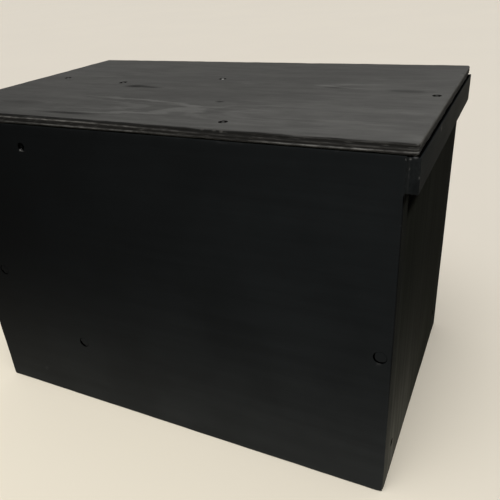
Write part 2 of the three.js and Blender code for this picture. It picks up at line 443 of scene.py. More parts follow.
def wall_paint(name, along, gloss, roughness, streaky, axis, ends, plain, dust_and_light, edge_tones):
    """Dull black from a foam roller, with the grain along one axis. The tone goes from plain[0]
    to plain[1] between two places, ends, on an axis, as painted light and shade. Towards the
    floor it turns lighter, from dust_and_light[0] to dust_and_light[1], as a dusty film and as
    painted light. edge_tones are the plain and the low tone of the edge faces. streaky is how far
    the grain shows in the tone."""
    material, tree, shader = new_material(name)
    place = place_of(tree)
    wear = attribute(tree, "wear")
    edge = attribute(tree, "edge_face")
    low = ramp(tree, parts_of(tree, place)["Z"], 0.35, -0.06)
    low = product(tree, low, low, low)
    far = ramp(tree, parts_of(tree, place)[axis], *ends)

    grain = noise(tree, place, along_grain(along, 60, 1.4), detail=4.0)
    bands = noise(tree, place, along_grain(along, 260, 11))
    cloud = noise(tree, place, (90, 90, 90))
    stipple = noise(tree, place, (1.3, 1.3, 1.3), detail=2.0)
    rubbed = ramp(tree, noise(tree, place, along_grain(along, 14, 5), detail=5.0), 0.56, 0.72)

    # Along the axis: painted light and shade. Towards the floor: a dusty film and painted light.
    tone = blend(tree, low, blend(tree, far, *plain), blend(tree, far, *dust_and_light))
    tone = blend(tree, edge, tone, blend(tree, low, *edge_tones))
    patterns = [
        (attribute(tree, "arris"), 0.0, 1.0, 1.0, 0.28),
        (cloud, 0.3, 0.7, 0.88, 1.10),
        (bands, 0.3, 0.7, 1.0 - streaky, 1.0 + 1.6 * streaky),
        (grain, 0.3, 0.7, 1.0 - 0.6 * streaky, 1.0 + streaky),
    ]
    tone = varied(tree, tone, patterns)
    scuffed = product(tree, wear, ramp(tree, rubbed, 0.0, 1.0, 0.2, 1.0))
    tone = blend(tree, product(tree, scuffed, 0.4), tone, SCUFF_TONE)
    tone = darken_by_painted_shade(tree, tone)
    tone = blend(tree, product(tree, attribute(tree, "chip"), 0.8), tone, WALL_CHIP_TONE)

    smeared = ramp(tree, cloud, 0.25, 0.75, roughness - 0.05, roughness + 0.05)
    banded = product(tree, ramp(tree, bands, 0.4, 0.7), 0.05)
    rough = total(tree, smeared, banded, product(tree, edge, 0.35))
    dress(tree, shader, tone, rough, gloss, [(stipple, 0.03), (grain, 0.04), (bands, 0.15)])
    return material


def long_wall_paint(name, edge_dust_and_light):
    # The plain tone darkens towards the left end as painted shade. The low tones are a dusty film
    # with painted light from the floor.
    plain = ((0.0013, 0.0016, 0.0020), (0.0084, 0.0098, 0.0109))
    dust_and_light = ((0.0230, 0.0244, 0.0242), (0.0240, 0.0260, 0.0268))
    edge_tones = ((0.0082, 0.0090, 0.0080), edge_dust_and_light)
    return wall_paint(name, X, 0.012, 0.6, 0.045, "X", (-0.32, 0.24), plain, dust_and_light, edge_tones)


def side_wall_paint():
    plain = ((0.0082, 0.0091, 0.0077), (0.0088, 0.0094, 0.0080))
    # Low on the side walls the tone turns light towards the front: painted light where the light
    # falls, with a dusty film.
    dust_and_light = ((0.0950, 0.0940, 0.0830), (0.0220, 0.0225, 0.0185))
    edge_tones = (plain[0], dust_and_light[1])
    ends = (-0.16, 0.06)
    return wall_paint("wall_paint_side", Z, 0.001, 0.85, 0.16, "Y", ends, plain, dust_and_light, edge_tones)


def strip_paint():
    # The tone lightens towards the back of the strip as painted sheen.
    plain = ((0.0058, 0.0070, 0.0072), (0.0165, 0.0170, 0.0150))
    dust_and_light = ((0.010, 0.010, 0.010), (0.016, 0.016, 0.015))
    edge_tones = ((0.0072, 0.0083, 0.0090),) * 2
    ends = (-0.15, 0.20)
    return wall_paint("wall_paint_strip", Y, 0.012, 0.7, 0.20, "Y", ends, plain, dust_and_light, edge_tones)


EARLYWOOD = (0.62, 0.45, 0.27)
LATEWOOD = (0.40, 0.25, 0.12)


def bare_wood(name, along, pale, dark):
    """Unpainted timber with straight grain and darker latewood lines."""
    material, tree, shader = new_material(name)
    place = place_of(tree)
    rings = noise(tree, place, along_grain(along, 220, 7), distortion=0.4)
    lines = ramp(tree, math_of(tree, "SINE", product(tree, rings, 42.0)), -0.2, 1.0)
    fibre = noise(tree, place, along_grain(along, 30, 0.7), detail=4.0)
    tone = blend(tree, product(tree, lines, 0.6), pale, dark)
    tone = blend(tree, product(tree, ramp(tree, fibre, 0.45, 0.75), 0.35), tone, dark)
    rough = ramp(tree, fibre, 0.3, 0.7, 0.62, 0.78)
    dress(tree, shader, tone, rough, 0.3, [(fibre, 0.08), (lines, 0.06)])
    return material


BARE_PIN_AND_GLINT_TONE = (0.42, 0.42, 0.41)


def screw_paint(name, tone, roughness, metal, gloss):
    """Zinc-plated steel, brushed over with black on the heads that show. The recess is darkened as
    painted shade, and some pins are pale, partly rubbed bare and partly a painted glint.
    """
    material, tree, shader = new_material(name)
    place = place_of(tree)
    flecks = noise(tree, place, (1.2, 1.2, 1.2), detail=4.0)
    turned = noise(tree, place, (0.5, 0.5, 0.5), detail=2.0)
    worn = ramp(tree, flecks, 0.55, 0.72)
    color = blend(tree, product(tree, worn, 0.5), tone, tuple(min(1.0, 2.2 * c) for c in tone))
    # Pale pins: rubbed paint and a painted glint.
    color = blend(tree, attribute(tree, "rubbed"), color, BARE_PIN_AND_GLINT_TONE)
    # Nearly black in the recess: painted shade.
    color = scaled(tree, color, ramp(tree, attribute(tree, "recess"), 0.0, 1.0, 1.0, 0.02))
    rough = ramp(tree, flecks, 0.3, 0.7, roughness, roughness + 0.12)
    dress(tree, shader, color, rough, gloss, [(turned, 0.03)])
    shader.inputs["Metallic"].default_value = metal
    return material


FLOOR_NEAR_TONE = (0.82, 0.765, 0.65)
FLOOR_FAR_TONE = (0.665, 0.625, 0.560)
FLOOR_CLOUD_TONE = (0.76, 0.71, 0.62)


def floor_material():
    """A pale floor with a painted pool of light, lightest around a point to the left of the box and
    in front of it.
    """
    material, tree, shader = new_material("floor_pale")
    place = place_of(tree)
    cloud = noise(tree, place, (600, 600, 600))
    away = vector_math(tree, "ADD", {0: place, 1: (0.35, 0.35, 0)})[0]
    # Painted light: the floor darkens away from that point.
    far = ramp(tree, length_of(tree, away), 0.35, 1.1)
    tone = blend(tree, far, FLOOR_NEAR_TONE, FLOOR_FAR_TONE)
    tone = blend(tree, product(tree, ramp(tree, cloud, 0.3, 0.7), 0.1), tone, FLOOR_CLOUD_TONE)
    dress(tree, shader, tone, 0.7, 0.1)
    return material


# ---------------------------------------- mesh helpers


def link_mesh(name, points, faces, material):
    mesh = bpy.data.meshes.new(name)
    mesh.from_pydata(points, [], faces)
    mesh.update()
    mesh.materials.append(material)
    return link(name, mesh)


def in_world(place, points):
    return [tuple(place @ Vector(point)) for point in points]


def face_outwards(made):
    shape = bmesh.new()
    shape.from_mesh(made.data)
    bmesh.ops.recalc_face_normals(shape, faces=shape.faces)
    shape.to_mesh(made.data)
    shape.free()


def ripple(points, sizes, seed, waves=10):
    """Smooth unevenness between about -1 and 1 at points, with features of about sizes metres."""
    random = np.random.default_rng(seed)
    height = np.zeros(len(points))
    for _ in range(waves):
        direction = random.normal(size=3)
        direction /= np.linalg.norm(direction)
        frequency = 2 * math.pi * random.uniform(0.6, 1.5)
        phase = random.uniform(0, 2 * math.pi)
        height += np.sin((points / sizes) @ direction * frequency + phase)
    return height / math.sqrt(waves)


def smooth(value, start, end):
    share = np.clip((value - start) / (end - start), 0, 1)
    return share * share * (3 - 2 * share)


def steps(low, high, band, fine, coarse):
    """Places from low to high: fine steps within band of both ends, and coarse ones between."""
    near = np.arange(0, band, fine)
    middle_long = (high - low) - 2 * band
    count = max(1, round(middle_long / coarse))
    middle = np.linspace(band, band + middle_long, count + 1)
    return np.concatenate([low + near, low + middle, high - near[::-1]])


def box_lattice(axes):
    """The surface points of a box-shaped lattice, as index triples, and its faces."""
    counts = [len(axis) for axis in axes]
    index = np.indices(counts).reshape(3, -1).T
    outer = np.any((index == 0) | (index == np.array(counts) - 1), axis=1)
    number = np.full(counts, -1)
    number.reshape(-1)[outer] = np.arange(outer.sum())
    faces = []
    for side in range(3):
        for end in (0, counts[side] - 1):
            sheet = np.take(number, end, axis=side)
            corners = [sheet[:-1, :-1], sheet[1:, :-1], sheet[1:, 1:], sheet[:-1, 1:]]
            quads = np.stack([corner.reshape(-1) for corner in corners], axis=1)
            outward_is_second = (end > 0) == (side != 1)
            faces.append(quads if outward_is_second else quads[:, ::-1])
    return index[outer], np.concatenate(faces)


# ---------------------------------------- boards

BOARD_BAND = 4.5 * MM


class Board:
    """A worn board. u and v run across its broad face and w through it, as axis numbers."""

    def __init__(self, node, u, v, w, corner, arris, plies, steps_uv, seed):
        self.node = node
        self.u, self.v, self.w = u, v, w
        self.low, self.high = (np.array(p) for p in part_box(node))
        self.corner = corner * MM
        self.arris = arris * MM
        self.plies = plies
        self.steps_uv = [step * MM for step in steps_uv]
        self.seed = seed

    def lattice(self):
        axes = [None, None, None]
        fine = self.arris / 4
        for axis, coarse in zip((self.u, self.v), self.steps_uv):
            axes[axis] = steps(self.low[axis], self.high[axis], BOARD_BAND, fine * 1.4, coarse)
        thick = self.high[self.w] - self.low[self.w]
        ply_step = thick / self.plies / 5
        axes[self.w] = steps(
            self.low[self.w], self.high[self.w], self.arris * 1.1, fine, ply_step
        )
        index, faces = box_lattice(axes)
        points = np.stack([axes[a][index[:, a]] for a in range(3)], axis=1)
        return points, faces

    def shape(self, points):
        """Rounds the corners and arrises. Returns the new points and their outward directions."""
        u, v, w = self.u, self.v, self.w
        plan = points[:, [u, v]]
        low, high = self.low[[u, v]], self.high[[u, v]]
        hub = np.clip(plan, low + self.corner, high - self.corner)
        spoke = plan - hub
        reach = np.abs(spoke).max(axis=1)
        far = np.linalg.norm(spoke, axis=1)
        out = spoke / np.maximum(far, 1e-12)[:, None]
        inset = self.corner - reach
        inset[far < 1e-9] = self.corner
        plan = hub + out * reach[:, None]

        depth = np.minimum(points[:, w] - self.low[w], self.high[w] - points[:, w])
        facing = np.where(points[:, w] > (self.low[w] + self.high[w]) / 2, 1.0, -1.0)
        radius = self.arris * (1 + 0.3 * ripple(points, 25 * MM, self.seed))
        p = np.maximum(radius - inset, 0)
        q = np.maximum(radius - depth, 0)
        both = (p > 0) & (q > 0)
        scale = np.ones(len(points))
        scale[both] = np.maximum(p, q)[both] / np.hypot(p, q)[both]
        plan += out * (p * (scale - 1))[:, None]

        made = points.copy()
        made[:, [u, v]] = plan
        made[:, w] += facing * q * (scale - 1)

        on_edge = (inset < depth) & ~both
        p = np.where(both, p * scale, np.where(on_edge, 1.0, 0.0))
        q = np.where(both, q * scale, np.where(on_edge, 0.0, 1.0))
        outward = np.zeros_like(points)
        outward[:, [u, v]] = out * p[:, None]
        outward[:, w] = facing * q
        outward /= np.maximum(np.linalg.norm(outward, axis=1), 1e-12)[:, None]
        return made, outward

    def edge_depths(self, points):
        """Distance from the top face of the board, and from the nearest broad face."""
        below = self.high[self.w] - points[:, self.w]
        above = points[:, self.w] - self.low[self.w]
        return below, np.minimum(below, above)

    def end_depths(self, points):
        """Distance from the nearer end along u, and along v."""
        return [
            np.minimum(points[:, a] - self.low[a], self.high[a] - points[:, a])
            for a in (self.u, self.v)
        ]


def ply_ledges(board, points):
    """Outward relief in the edge of plywood, in millimetres: each layer weathers differently."""
    below, _ = board.edge_depths(points)
    thick = board.high[board.w] - board.low[board.w]
    layer = below / thick * board.plies
    relief = np.zeros(len(points))
    for number in range(board.plies):
        inside = smooth(np.abs(layer - number - 0.5), 0.62, 0.38)
        along = ripple(points, 60 * MM, board.seed + 10 + number)
        height = 0.10 if number % 2 == 0 else -0.08
        relief += inside * (height + 0.07 * along)
    return relief


def lid_streaks(board, points):
    """Pale ledges in the front edge of the lid, partly rubbed paint and partly painted highlight, as
    (strength 0 to 1, relief in mm).
    """
    below, _ = board.edge_depths(points)
    below = below / MM
    x = points[:, 0] / MM
    front = smooth(points[:, 1], board.low[1] + 3 * MM, board.low[1] + 1 * MM)
    long_waves = ripple(points, np.array([22, 400, 400]) * MM, 31)
    short_waves = ripple(points, np.array([6, 400, 3]) * MM, 33)
    flicker = 0.5 + 0.5 * np.clip(0.8 * long_waves + 0.6 * short_waves, -1, 1)
    upper = np.interp(x, [-260, -60, 20, 90, 260], [0.55, 0.85, 0.45, 0.10, 0.30])
    lower_x = [-260, -110, -50, 60, 115, 150, 250]
    lower = np.interp(x, lower_x, [0.3, 0.35, 0.75, 0.3, 0.12, 0.9, 0.95])
    upper_place = np.interp(x, [-250, -40, 80, 250], [2.5, 2.4, 4.4, 4.6])
    lower_place = np.interp(x, [-250, 160, 250], [6.7, 7.3, 6.7])
    corner = np.interp(x, [120, 180, 252], [0, 0.22, 0.28])
    strength = np.zeros(len(points))
    relief = np.zeros(len(points))
    rows = ((upper, upper_place, 1.0), (lower, lower_place, 0.9), (corner, 1.4, 0.6))
    for amount, middle, half_wide in rows:
        near = smooth(np.abs(below - middle), half_wide, 0.15 * half_wide)
        strength = np.maximum(strength, near * amount * (0.45 + 0.55 * flicker))
        ledge = smooth(below, middle - half_wide, middle) * smooth(below, middle + 1.6, middle)
        relief += 0.35 * ledge * amount
    return strength * front, relief * front


def chips(points, rows):
    """Dents where the paint and wood have broken away: rows of (place in mm, radius, depth)."""
    dent = np.zeros(len(points))
    for place, radius, depth in rows:
        far = np.linalg.norm(points - np.array(place) * MM, axis=1) / (radius * MM)
        dent = np.maximum(dent, depth * smooth(far, 1.0, 0.2))
    return dent


def add_attribute(mesh, name, values):
    made = mesh.attributes.new(name, "FLOAT", "POINT")
    made.data.foreach_set("value", values.astype(np.float32))


def places_of(mesh):
    places = np.zeros(len(mesh.vertices) * 3, np.float32)
    mesh.vertices.foreach_get("co", places)
    return places.reshape(-1, 3).astype(float)


def mark_board(board, made):
    """Writes what the materials ask of each point: wear by the arrises, edge faces and streaks."""
    points = places_of(made.data)
    from_ends = board.end_depths(points)
    inset = np.maximum(np.minimum(*from_ends), 0)
    depth = np.maximum(board.edge_depths(points)[1], 0)
    far_end = np.maximum(np.maximum(*from_ends), 0)
    nearest = np.sort(np.stack([inset, depth, far_end], axis=1), axis=1)[:, 1]
    patchy = 0.6 + 0.4 * ripple(points, 30 * MM, board.seed + 3)
    wear = smooth(nearest, 3.2 * MM, 0.4 * MM) * np.clip(patchy, 0, 1)
    edge = smooth(depth, 0.25 * board.arris, 1.1 * board.arris) * smooth(inset, 1.6 * MM, 0.6 * MM)
    arris = np.zeros(len(points))
    streak = np.zeros(len(points))
    if board.node == "top_panel":
        arris = dark_lid_arris(points, from_ends)
        edge *= 1 - 0.6 * rubbed_lid_end(board, points, from_ends)
        streak, _ = lid_streaks(board, points)
    elif board.node.startswith("grip_strip_"):
        wear = np.maximum(wear * (1 - 0.7 * edge), strip_line(board, points) * edge)
    elif board.node in ("front_panel", "back_panel"):
        wear *= 0.35 * (1 - 0.8 * edge)
        arris = dark_wall_arris(board, points, from_ends)
    else:
        wear *= 1 - 0.8 * edge
    dents = [(place, radius, pale) for place, radius, _, pale in CHIPS.get(board.node, [])]
    chip = np.clip(chips(points, dents), 0, 1)
    # Painted shade under the grip strips and inside the screw holes.
    painted_shade = np.maximum(strip_shadow(board, points), inside_bores(board, points))
    marks = dict(wear=wear, arris=arris, edge_face=edge, streak=streak, chip=chip, painted_shade=painted_shade)
    for name, values in marks.items():
        add_attribute(made.data, name, values)


def dark_lid_arris(points, from_ends):
    """The front and back arrises of the lid, broad at the left and narrow at the right: painted
    shade along them.
    """
    dark_from = np.interp(points[:, 0], [-100 * MM, 60 * MM], [2.4 * MM, 0.9 * MM])
    return smooth(from_ends[1], dark_from, dark_from - 0.8 * MM)


def rubbed_lid_end(board, points, from_ends):
    """The upper part of the lid's end faces, clear of their corners."""
    below, _ = board.edge_depths(points)
    at_end = smooth(from_ends[0], 4 * MM, 1.5 * MM) * smooth(from_ends[1], 2 * MM, 5 * MM)
    return at_end * smooth(below, 5.0 * MM, 0.5 * MM)


def strip_line(board, points):
    """A pale line down the end of a grip strip, beside the wall that it is fixed to."""
    inner_face = min(abs(board.low[0]), abs(board.high[0]))
    from_wall = np.abs(points[:, 0]) - inner_face
    return smooth(np.abs(from_wall - 1.7 * MM), 0.8 * MM, 0.1 * MM)


def dark_wall_arris(board, points, from_ends):
    """The upright corners of a long wall, from the grip strips down to where the wall turns lighter
    near the floor, with a dusty film and painted light.
    """
    if board.node == "front_panel":
        from_outside = points[:, 1] - board.low[1]
    else:
        from_outside = board.high[1] - points[:, 1]
    strip_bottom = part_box("grip_strip_right")[0].z
    clear_of_strip = smooth(points[:, 2], strip_bottom, strip_bottom - 1.5 * MM)
    clear_of_low_tone = smooth(points[:, 2], 70 * MM, 150 * MM)
    at_corner = smooth(from_ends[0], 1.5 * MM, 0.5 * MM)
    outer = smooth(from_outside, 3.0 * MM, 1.8 * MM)
    return 0.6 * at_corner * outer * clear_of_strip * clear_of_low_tone


def strip_shadow(board, points):
    """Painted shadow under the grip strips: deep on the side walls, most of all near the
    strips' ends, and shallow on the ends of the long walls. The ledge that a strip leaves beside
    the lid is painted dark too, as the shade in the gap under the lid."""
    strip_low, strip_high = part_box("grip_strip_right")
    _, wall_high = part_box("side_panel_right")
    outward = np.abs(points[:, 0])
    if board.node.startswith("grip_strip_"):
        ledge = smooth(points[:, 2], strip_high.z - 0.45 * MM, strip_high.z - 0.15 * MM)
        return ledge * smooth(outward, strip_high.x - 0.7 * MM, strip_high.x - 1.2 * MM)
    under = strip_low.z - points[:, 2]
    unshaded_at, dark_at = (34, 16) if board.node.startswith("side_panel_") else (14, 4)
    dark = smooth(under, unshaded_at * MM, dark_at * MM) * (under > -1 * MM)
    from_end = strip_high.y - np.abs(points[:, 1])
    dark *= 0.45 + 0.55 * smooth(from_end, 100 * MM, 55 * MM)
    return dark * (outward > wall_high.x - 0.6 * MM)


def inside_bores(board, points):
    """1 on the walls of the screw holes: painted shade, where no light reaches."""
    dark = np.zeros(len(points))
    for name in screws_through(board.node):
        turn = np.array(fastener_place(name).inverted())
        local = points @ turn[:3, :3].T + turn[:3, 3]
        bore = PLUG_HOLE_RADIUS if plug_over(name) else HEAD_RADIUS + HOLE_GAP
        inside = np.hypot(local[:, 0], local[:, 1]) < (bore + 0.15) * MM
        deepest = -(top_below_surface(name) + HEAD_DEEP) * MM
        dark[inside & (local[:, 2] < -0.3 * LIP * MM) & (local[:, 2] > deepest)] = 1.0
    return dark


# Dents by board: (place in mm, radius, depth, how pale the broken paint is)
CHIPS = {
    "top_panel": [
        ((80, -151.8, 349.2), 1.5, 0.5, 0.4),
        ((91, -151.8, 348.8), 1.2, 0.5, 0.3),
        ((98, -151.8, 348.2), 1.3, 0.7, 0.8),
        ((251, -60, 349.5), 3.5, 0.7, 0.3),
        ((250.5, 96, 349.6), 4.0, 0.7, 0.3),
        ((-180, -151.6, 349.6), 3.0, 0.7, 0.3),
    ],
    "front_panel": [
        ((243.9, -152.3, 338.4), 1.2, 0.5, 0.6),
        ((244.2, -152.4, 1.0), 6.0, 1.0, 0.0),
        ((-244.2, -152.4, 1.0), 2.0, 0.2, 0.0),
        ((-129.6, -152.4, 315.4), 1.6, 0.4, 1.0),
        ((-127.6, -152.4, 314.8), 1.2, 0.3, 0.6),
        ((232.4, -152.4, 155.0), 1.3, 0.2, 0.6),
        ((233.8, -152.4, 154.7), 1.4, 0.2, 0.7),
        ((235.3, -152.4, 154.8), 1.2, 0.2, 0.5),
        ((-206.5, -152.4, 172.5), 1.6, 0.2, 0.4),
        ((-180, -152.4, 28.0), 3.0, 0.1, 0.1),
    ],
    "grip_strip_right": [
        ((246.6, -152.3, 338.8), 1.1, 0.4, 0.6),
        ((246.4, -152.3, 331.0), 0.8, 0.3, 0.5),
        ((253.6, -152.3, 326.0), 0.9, 0.3, 0.3),
        ((250.0, -152.3, 341.2), 2.6, 0.3, 0.4),
        ((253.6, -60, 336.0), 3.0, 0.3, 0.4),
        ((253.8, 40, 312.6), 3.0, 0.8, 0.4),
    ],
    "side_panel_right": [
        ((244.2, -131.8, 27.0), 2.2, 0.6, 0.5),
    ],
}


def screws_through(node):
    """The screws that need a hole in a board: those that its box holds, seen along their axis."""
    low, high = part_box(node)
    overlap = 0.1 * MM
    found = []
    for name in sorted(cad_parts):
        if not name.startswith("screw_"):
            continue
        a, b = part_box(name)
        middle = (a + b) / 2
        across = [axis for axis in (X, Y, Z) if axis != fastener_axis(name)]
        meets = all(b[k] > low[k] + overlap and a[k] < high[k] - overlap for k in (X, Y, Z))
        if meets and all(low[k] < middle[k] < high[k] for k in across):
            found.append(name)
    return found


# The board that the fasteners of each side go into first, and the way that they face. The side
# is the second word of a fastener's name.
SIDES = {
    "top": ("top_panel", Vector((0, 0, 1))),
    "front": ("front_panel", Vector((0, -1, 0))),
    "back": ("back_panel", Vector((0, 1, 0))),
    "left": ("side_panel_left", Vector((-1, 0, 0))),
    "right": ("side_panel_right", Vector((1, 0, 0))),
}


def side_of(name):
    return SIDES[name.split("_")[1]]


def fastener_axis(name):
    _, facing = side_of(name)
    return max((X, Y, Z), key=lambda k: abs(facing[k]))


def outer_level(name, node):
    """Where the outer face of a node lies along the fastener's axis."""
    _, facing = side_of(name)
    axis = fastener_axis(name)
    low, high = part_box(node)
    return high[axis] if facing[axis] > 0 else low[axis]


def fastener_place(name):
    """The matrix that takes +Z to the way the fastener faces, at its middle on the board's face."""
    board, facing = side_of(name)
    low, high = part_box(name)
    middle = (low + high) / 2
    middle[fastener_axis(name)] = outer_level(name, board)
    turn = UP.rotation_difference(facing)
    return Matrix.Translation(middle) @ turn.to_matrix().to_4x4()


def top_below_surface(name):
    """How far the fastener's outer end lies below the board's face, in millimetres."""
    board, _ = side_of(name)
    return abs(outer_level(name, board) - outer_level(name, name)) / MM


def fastener_long(name):
    low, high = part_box(name)
    return (high - low)[fastener_axis(name)] / MM


# ---------------------------------------- turned pieces


def lathe(profile, around):
    """Points and faces of a closed turned solid. profile is (radius, height) up the axis in
    millimetres, and its first and last radius are 0."""
    angles = np.linspace(0, 2 * math.pi, around, endpoint=False)
    points = [(0.0, 0.0, profile[0][1])]
    for radius, height in profile[1:-1]:
        points += [(radius * math.cos(a), radius * math.sin(a), height) for a in angles]
    points.append((0.0, 0.0, profile[-1][1]))
    return np.array(points) * MM, tube_faces(len(profile) - 2, around)


def tube_faces(rings, around):
    """Faces of a stack of rings with a point at each end."""
    faces = []
    for k in range(around):
        after = (k + 1) % around
        faces.append((0, 1 + after, 1 + k))
        for ring in range(rings - 1):
            start = 1 + ring * around
            faces.append((start + k, start + after, start + around + after, start + around + k))
        last = 1 + (rings - 1) * around
        faces.append((last + k, last + after, 1 + rings * around))
    return faces


def hole_profile(name):
    """The bore for a screw, from below its point up into the open air, with a soft lip."""
    top = -top_below_surface(name)
    end = top - fastener_long(name) - SHANK_GAP
    head = HEAD_RADIUS + HOLE_GAP
    shank = SHANK_RADIUS + THREAD_HIGH + SHANK_GAP
    profile = [(0, end), (shank, end + POINT_LONG), (shank, top - HEAD_DEEP), (head, top)]
    bore = head
    if plug_over(name):
        bore = PLUG_HOLE_RADIUS
        profile += [(bore, top + 0.05)]
    return profile + [
        (bore, -LIP),
        (bore + 0.12, -LIP * 0.4),
        (bore + LIP, 0.1),
        (bore + LIP, OPEN_AIR),
        (0, OPEN_AIR),
    ]


def plug_over(screw):
    return screw.replace("screw_", "plug_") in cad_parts


def drill(made, screws):
    """Cuts the holes of all these screws out of a board in one go."""
    if not screws:
        return
    points, faces = [], []
    for name in screws:
        turned, turned_faces = lathe(hole_profile(name), HOLE_SIDES)
        start = len(points)
        points += in_world(fastener_place(name), turned)
        faces += [tuple(start + number for number in face) for face in turned_faces]
    cutter = link_mesh("cutter", points, faces, made.data.materials[0])
    modifier = made.modifiers.new("holes", "BOOLEAN")
    modifier.object = cutter
    modifier.operation = "DIFFERENCE"
    modifier.solver = "EXACT"
    graph = bpy.context.evaluated_depsgraph_get()
    cut = bpy.data.meshes.new_from_object(made.evaluated_get(graph))
    made.modifiers.clear()
    old = made.data
    made.data = cut
    bpy.data.meshes.remove(old)
    bpy.data.objects.remove(cutter)


def shade(made, angle=40.0):
    """Turns the faces outwards and smooths them, except across edges sharper than the angle."""
    face_outwards(made)
    made.data.shade_smooth()
    made.data.set_sharp_from_angle(angle=math.radians(angle))


def make_board(name, board, material):
    points, faces = board.lattice()
    made_points, outward = board.shape(points)
    _, depth = board.edge_depths(points)
    inset = np.maximum(np.minimum(*board.end_depths(points)), 0)
    on_edge = smooth(depth, 0.3 * board.arris, board.arris) * smooth(inset, 0.8 * MM, 0.2 * MM)
    relief = ply_ledges(board, points) * on_edge
    if board.node == "top_panel":
        relief += lid_streaks(board, points)[1]
    relief -= chips(points, [row[:3] for row in CHIPS.get(board.node, [])])
    warp = WARP * ripple(points, 90 * MM, board.seed + 1)
    made_points += outward * ((relief + warp) * MM)[:, None]
    made = link_mesh(name, made_points, faces.tolist(), material)
    drill(made, screws_through(board.node))
    shade(made)
    mark_board(board, made)
    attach(made, "root")
    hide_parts(board.node)


# ---------------------------------------- screws and plugs


def screw_profile(name):
    """Up the axis: a point, a threaded shank, a cone, and a head with a round recess and a pin.
    On the lid a blob of paint stands on the pin."""
    top = -top_below_surface(name)
    end = top - fastener_long(name)
    profile = [(0, end)]
    for step in np.arange(SHANK_STEP, fastener_long(name) - HEAD_DEEP, SHANK_STEP):
        profile.append((SHANK_RADIUS * min(1.0, step / POINT_LONG), end + step))
    blob = PAINT_BLOB if name.startswith("screw_top_") else 0.0
    return profile + [
        (HEAD_RADIUS, top - 0.45),
        (HEAD_RADIUS, top - 0.2),
        (HEAD_RADIUS - HEAD_RIM, top),
        (RECESS_RADIUS + 0.08, top),
        (RECESS_RADIUS, top - 0.12),
        (RECESS_RADIUS - 0.25, top - RECESS_DEEP),
        (RECESS_PIN + 0.1, top - RECESS_DEEP),
        (RECESS_PIN, top + blob - 0.15),
        (RECESS_PIN - 0.15, top + blob - 0.02),
        (0, top + blob),
    ]


def threaded(points, top):
    """Raises a helical thread on the shank of a screw whose head ends at top, in millimetres."""
    x, y, z = points.T
    radius = np.hypot(x, y)
    turn = np.arctan2(y, x) / (2 * math.pi)
    phase = (z / (THREAD_PITCH * MM) - turn) % 1.0
    crest = smooth(np.abs(phase - 0.5), 0.28, 0.0)
    on_shank = smooth(z, (top - HEAD_DEEP - 2.5) * MM, (top - HEAD_DEEP - 4.0) * MM)
    on_shank = on_shank * (radius > 0.3 * MM) * (radius <= SHANK_RADIUS * MM * 1.001)
    raised = 1 + THREAD_HIGH * MM * crest * on_shank / np.maximum(radius, 1e-9)
    return np.stack([x * raised, y * raised, z], axis=1)


def make_screw(name, material):
    points, faces = lathe(screw_profile(name), SCREW_SIDES)
    top = -top_below_surface(name)
    points = threaded(points, top)
    out = np.hypot(points[:, 0], points[:, 1])
    recess = (out < (RECESS_RADIUS + 0.05) * MM) * (points[:, 2] > (top - HEAD_DEEP) * MM)
    recess = recess * (points[:, 2] < (top - 0.06) * MM)
    on_pin = (out < (RECESS_PIN + 0.02) * MM) * (points[:, 2] > (top - 0.16) * MM)
    points = in_world(fastener_place(name), points)
    made = link_mesh(name.replace("screw_", "wood_screw_"), points, faces, material)
    # recess marks the painted shade in the recess; rubbed marks the pale pin, partly a painted
    # glint.
    add_attribute(made.data, "recess", recess.astype(float))
    add_attribute(made.data, "rubbed", on_pin * PIN_RUB_AND_GLINT.get(name, 0.0))
    shade(made, 35)
    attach(made, "root")
    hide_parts(name)


# How pale the pin in the recess is, by screw: paint rubbed off it, and a painted glint
PIN_RUB_AND_GLINT = {
    "screw_top_rib_centre": 0.85,
    "screw_top_left": 0.16,
    "screw_top_rib_left": 0.14,
    "screw_top_right": 0.04,
    "screw_top_front": 0.06,
}

# How much of each plug's rim is broken out: (depth in mm, half the angle in degrees)
PLUG_BREAKS = {"rib_low": (2.1, 66), "post_left": (1.2, 34), "side_right": (0.65, 95)}


def make_plug(name, material):
    """A wooden plug, a little domed, with its rim broken out at the lower left."""
    sink = top_below_surface(name)
    long = fastener_long(name)
    radius = PLUG_RADIUS
    rings = [
        (0, -sink - long),
        (radius - 0.4, -sink - long),
        (radius, -sink - long + 0.5),
        (radius, -sink - PLUG_BREAK_DEEP),
        (radius, -sink - 0.45),
        (radius - 0.06, -sink - 0.15),
        (radius - PLUG_RIM, -sink - 0.01),
        (radius - 0.5, -sink + 0.05),
        (radius - 1.1, -sink + 0.12),
        (radius * 0.5, -sink + 0.22),
        (radius * 0.2, -sink + 0.26),
        (0, -sink + 0.27),
    ]
    points, faces = lathe(rings, PLUG_SIDES)
    cut, half_angle = PLUG_BREAKS[name.split("_", 2)[2]]
    angle = np.degrees(np.arctan2(points[:, 1], points[:, 0]))
    turned = np.abs((angle + 135 + 180) % 360 - 180)
    out = np.hypot(points[:, 0], points[:, 1])
    broken = smooth(turned, half_angle, 0.6 * half_angle) * (out > (radius - 1.2) * MM)
    broken = broken * (points[:, 2] > (-sink - 0.9 * PLUG_BREAK_DEEP) * MM)
    rim = broken * (points[:, 2] < -sink * MM)
    points[:, :2] *= (1 - cut * MM * broken / np.maximum(out, MM))[:, None]
    buried = smooth(points[:, 2], -(sink + 0.2) * MM, -(sink + 0.5) * MM)
    uneven = 0.08 * ripple(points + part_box(name)[0], 4 * MM, 77)
    points[:, 2] += uneven * MM * (points[:, 2] > (-sink - 0.5) * MM)
    points[:, :2] += PLUG_SHIFT * MM * math.sqrt(0.5)
    points = in_world(fastener_place(name), points)
    made = link_mesh(name.replace("plug_", "wood_plug_"), points, faces, material)
    # Painted shade: the plug's buried sides and its broken rim go dark, as the gap around it.
    add_attribute(made.data, "painted_shade", np.maximum(buried, rim))
    shade(made, 50)
    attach(made, "root")
    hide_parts(name)


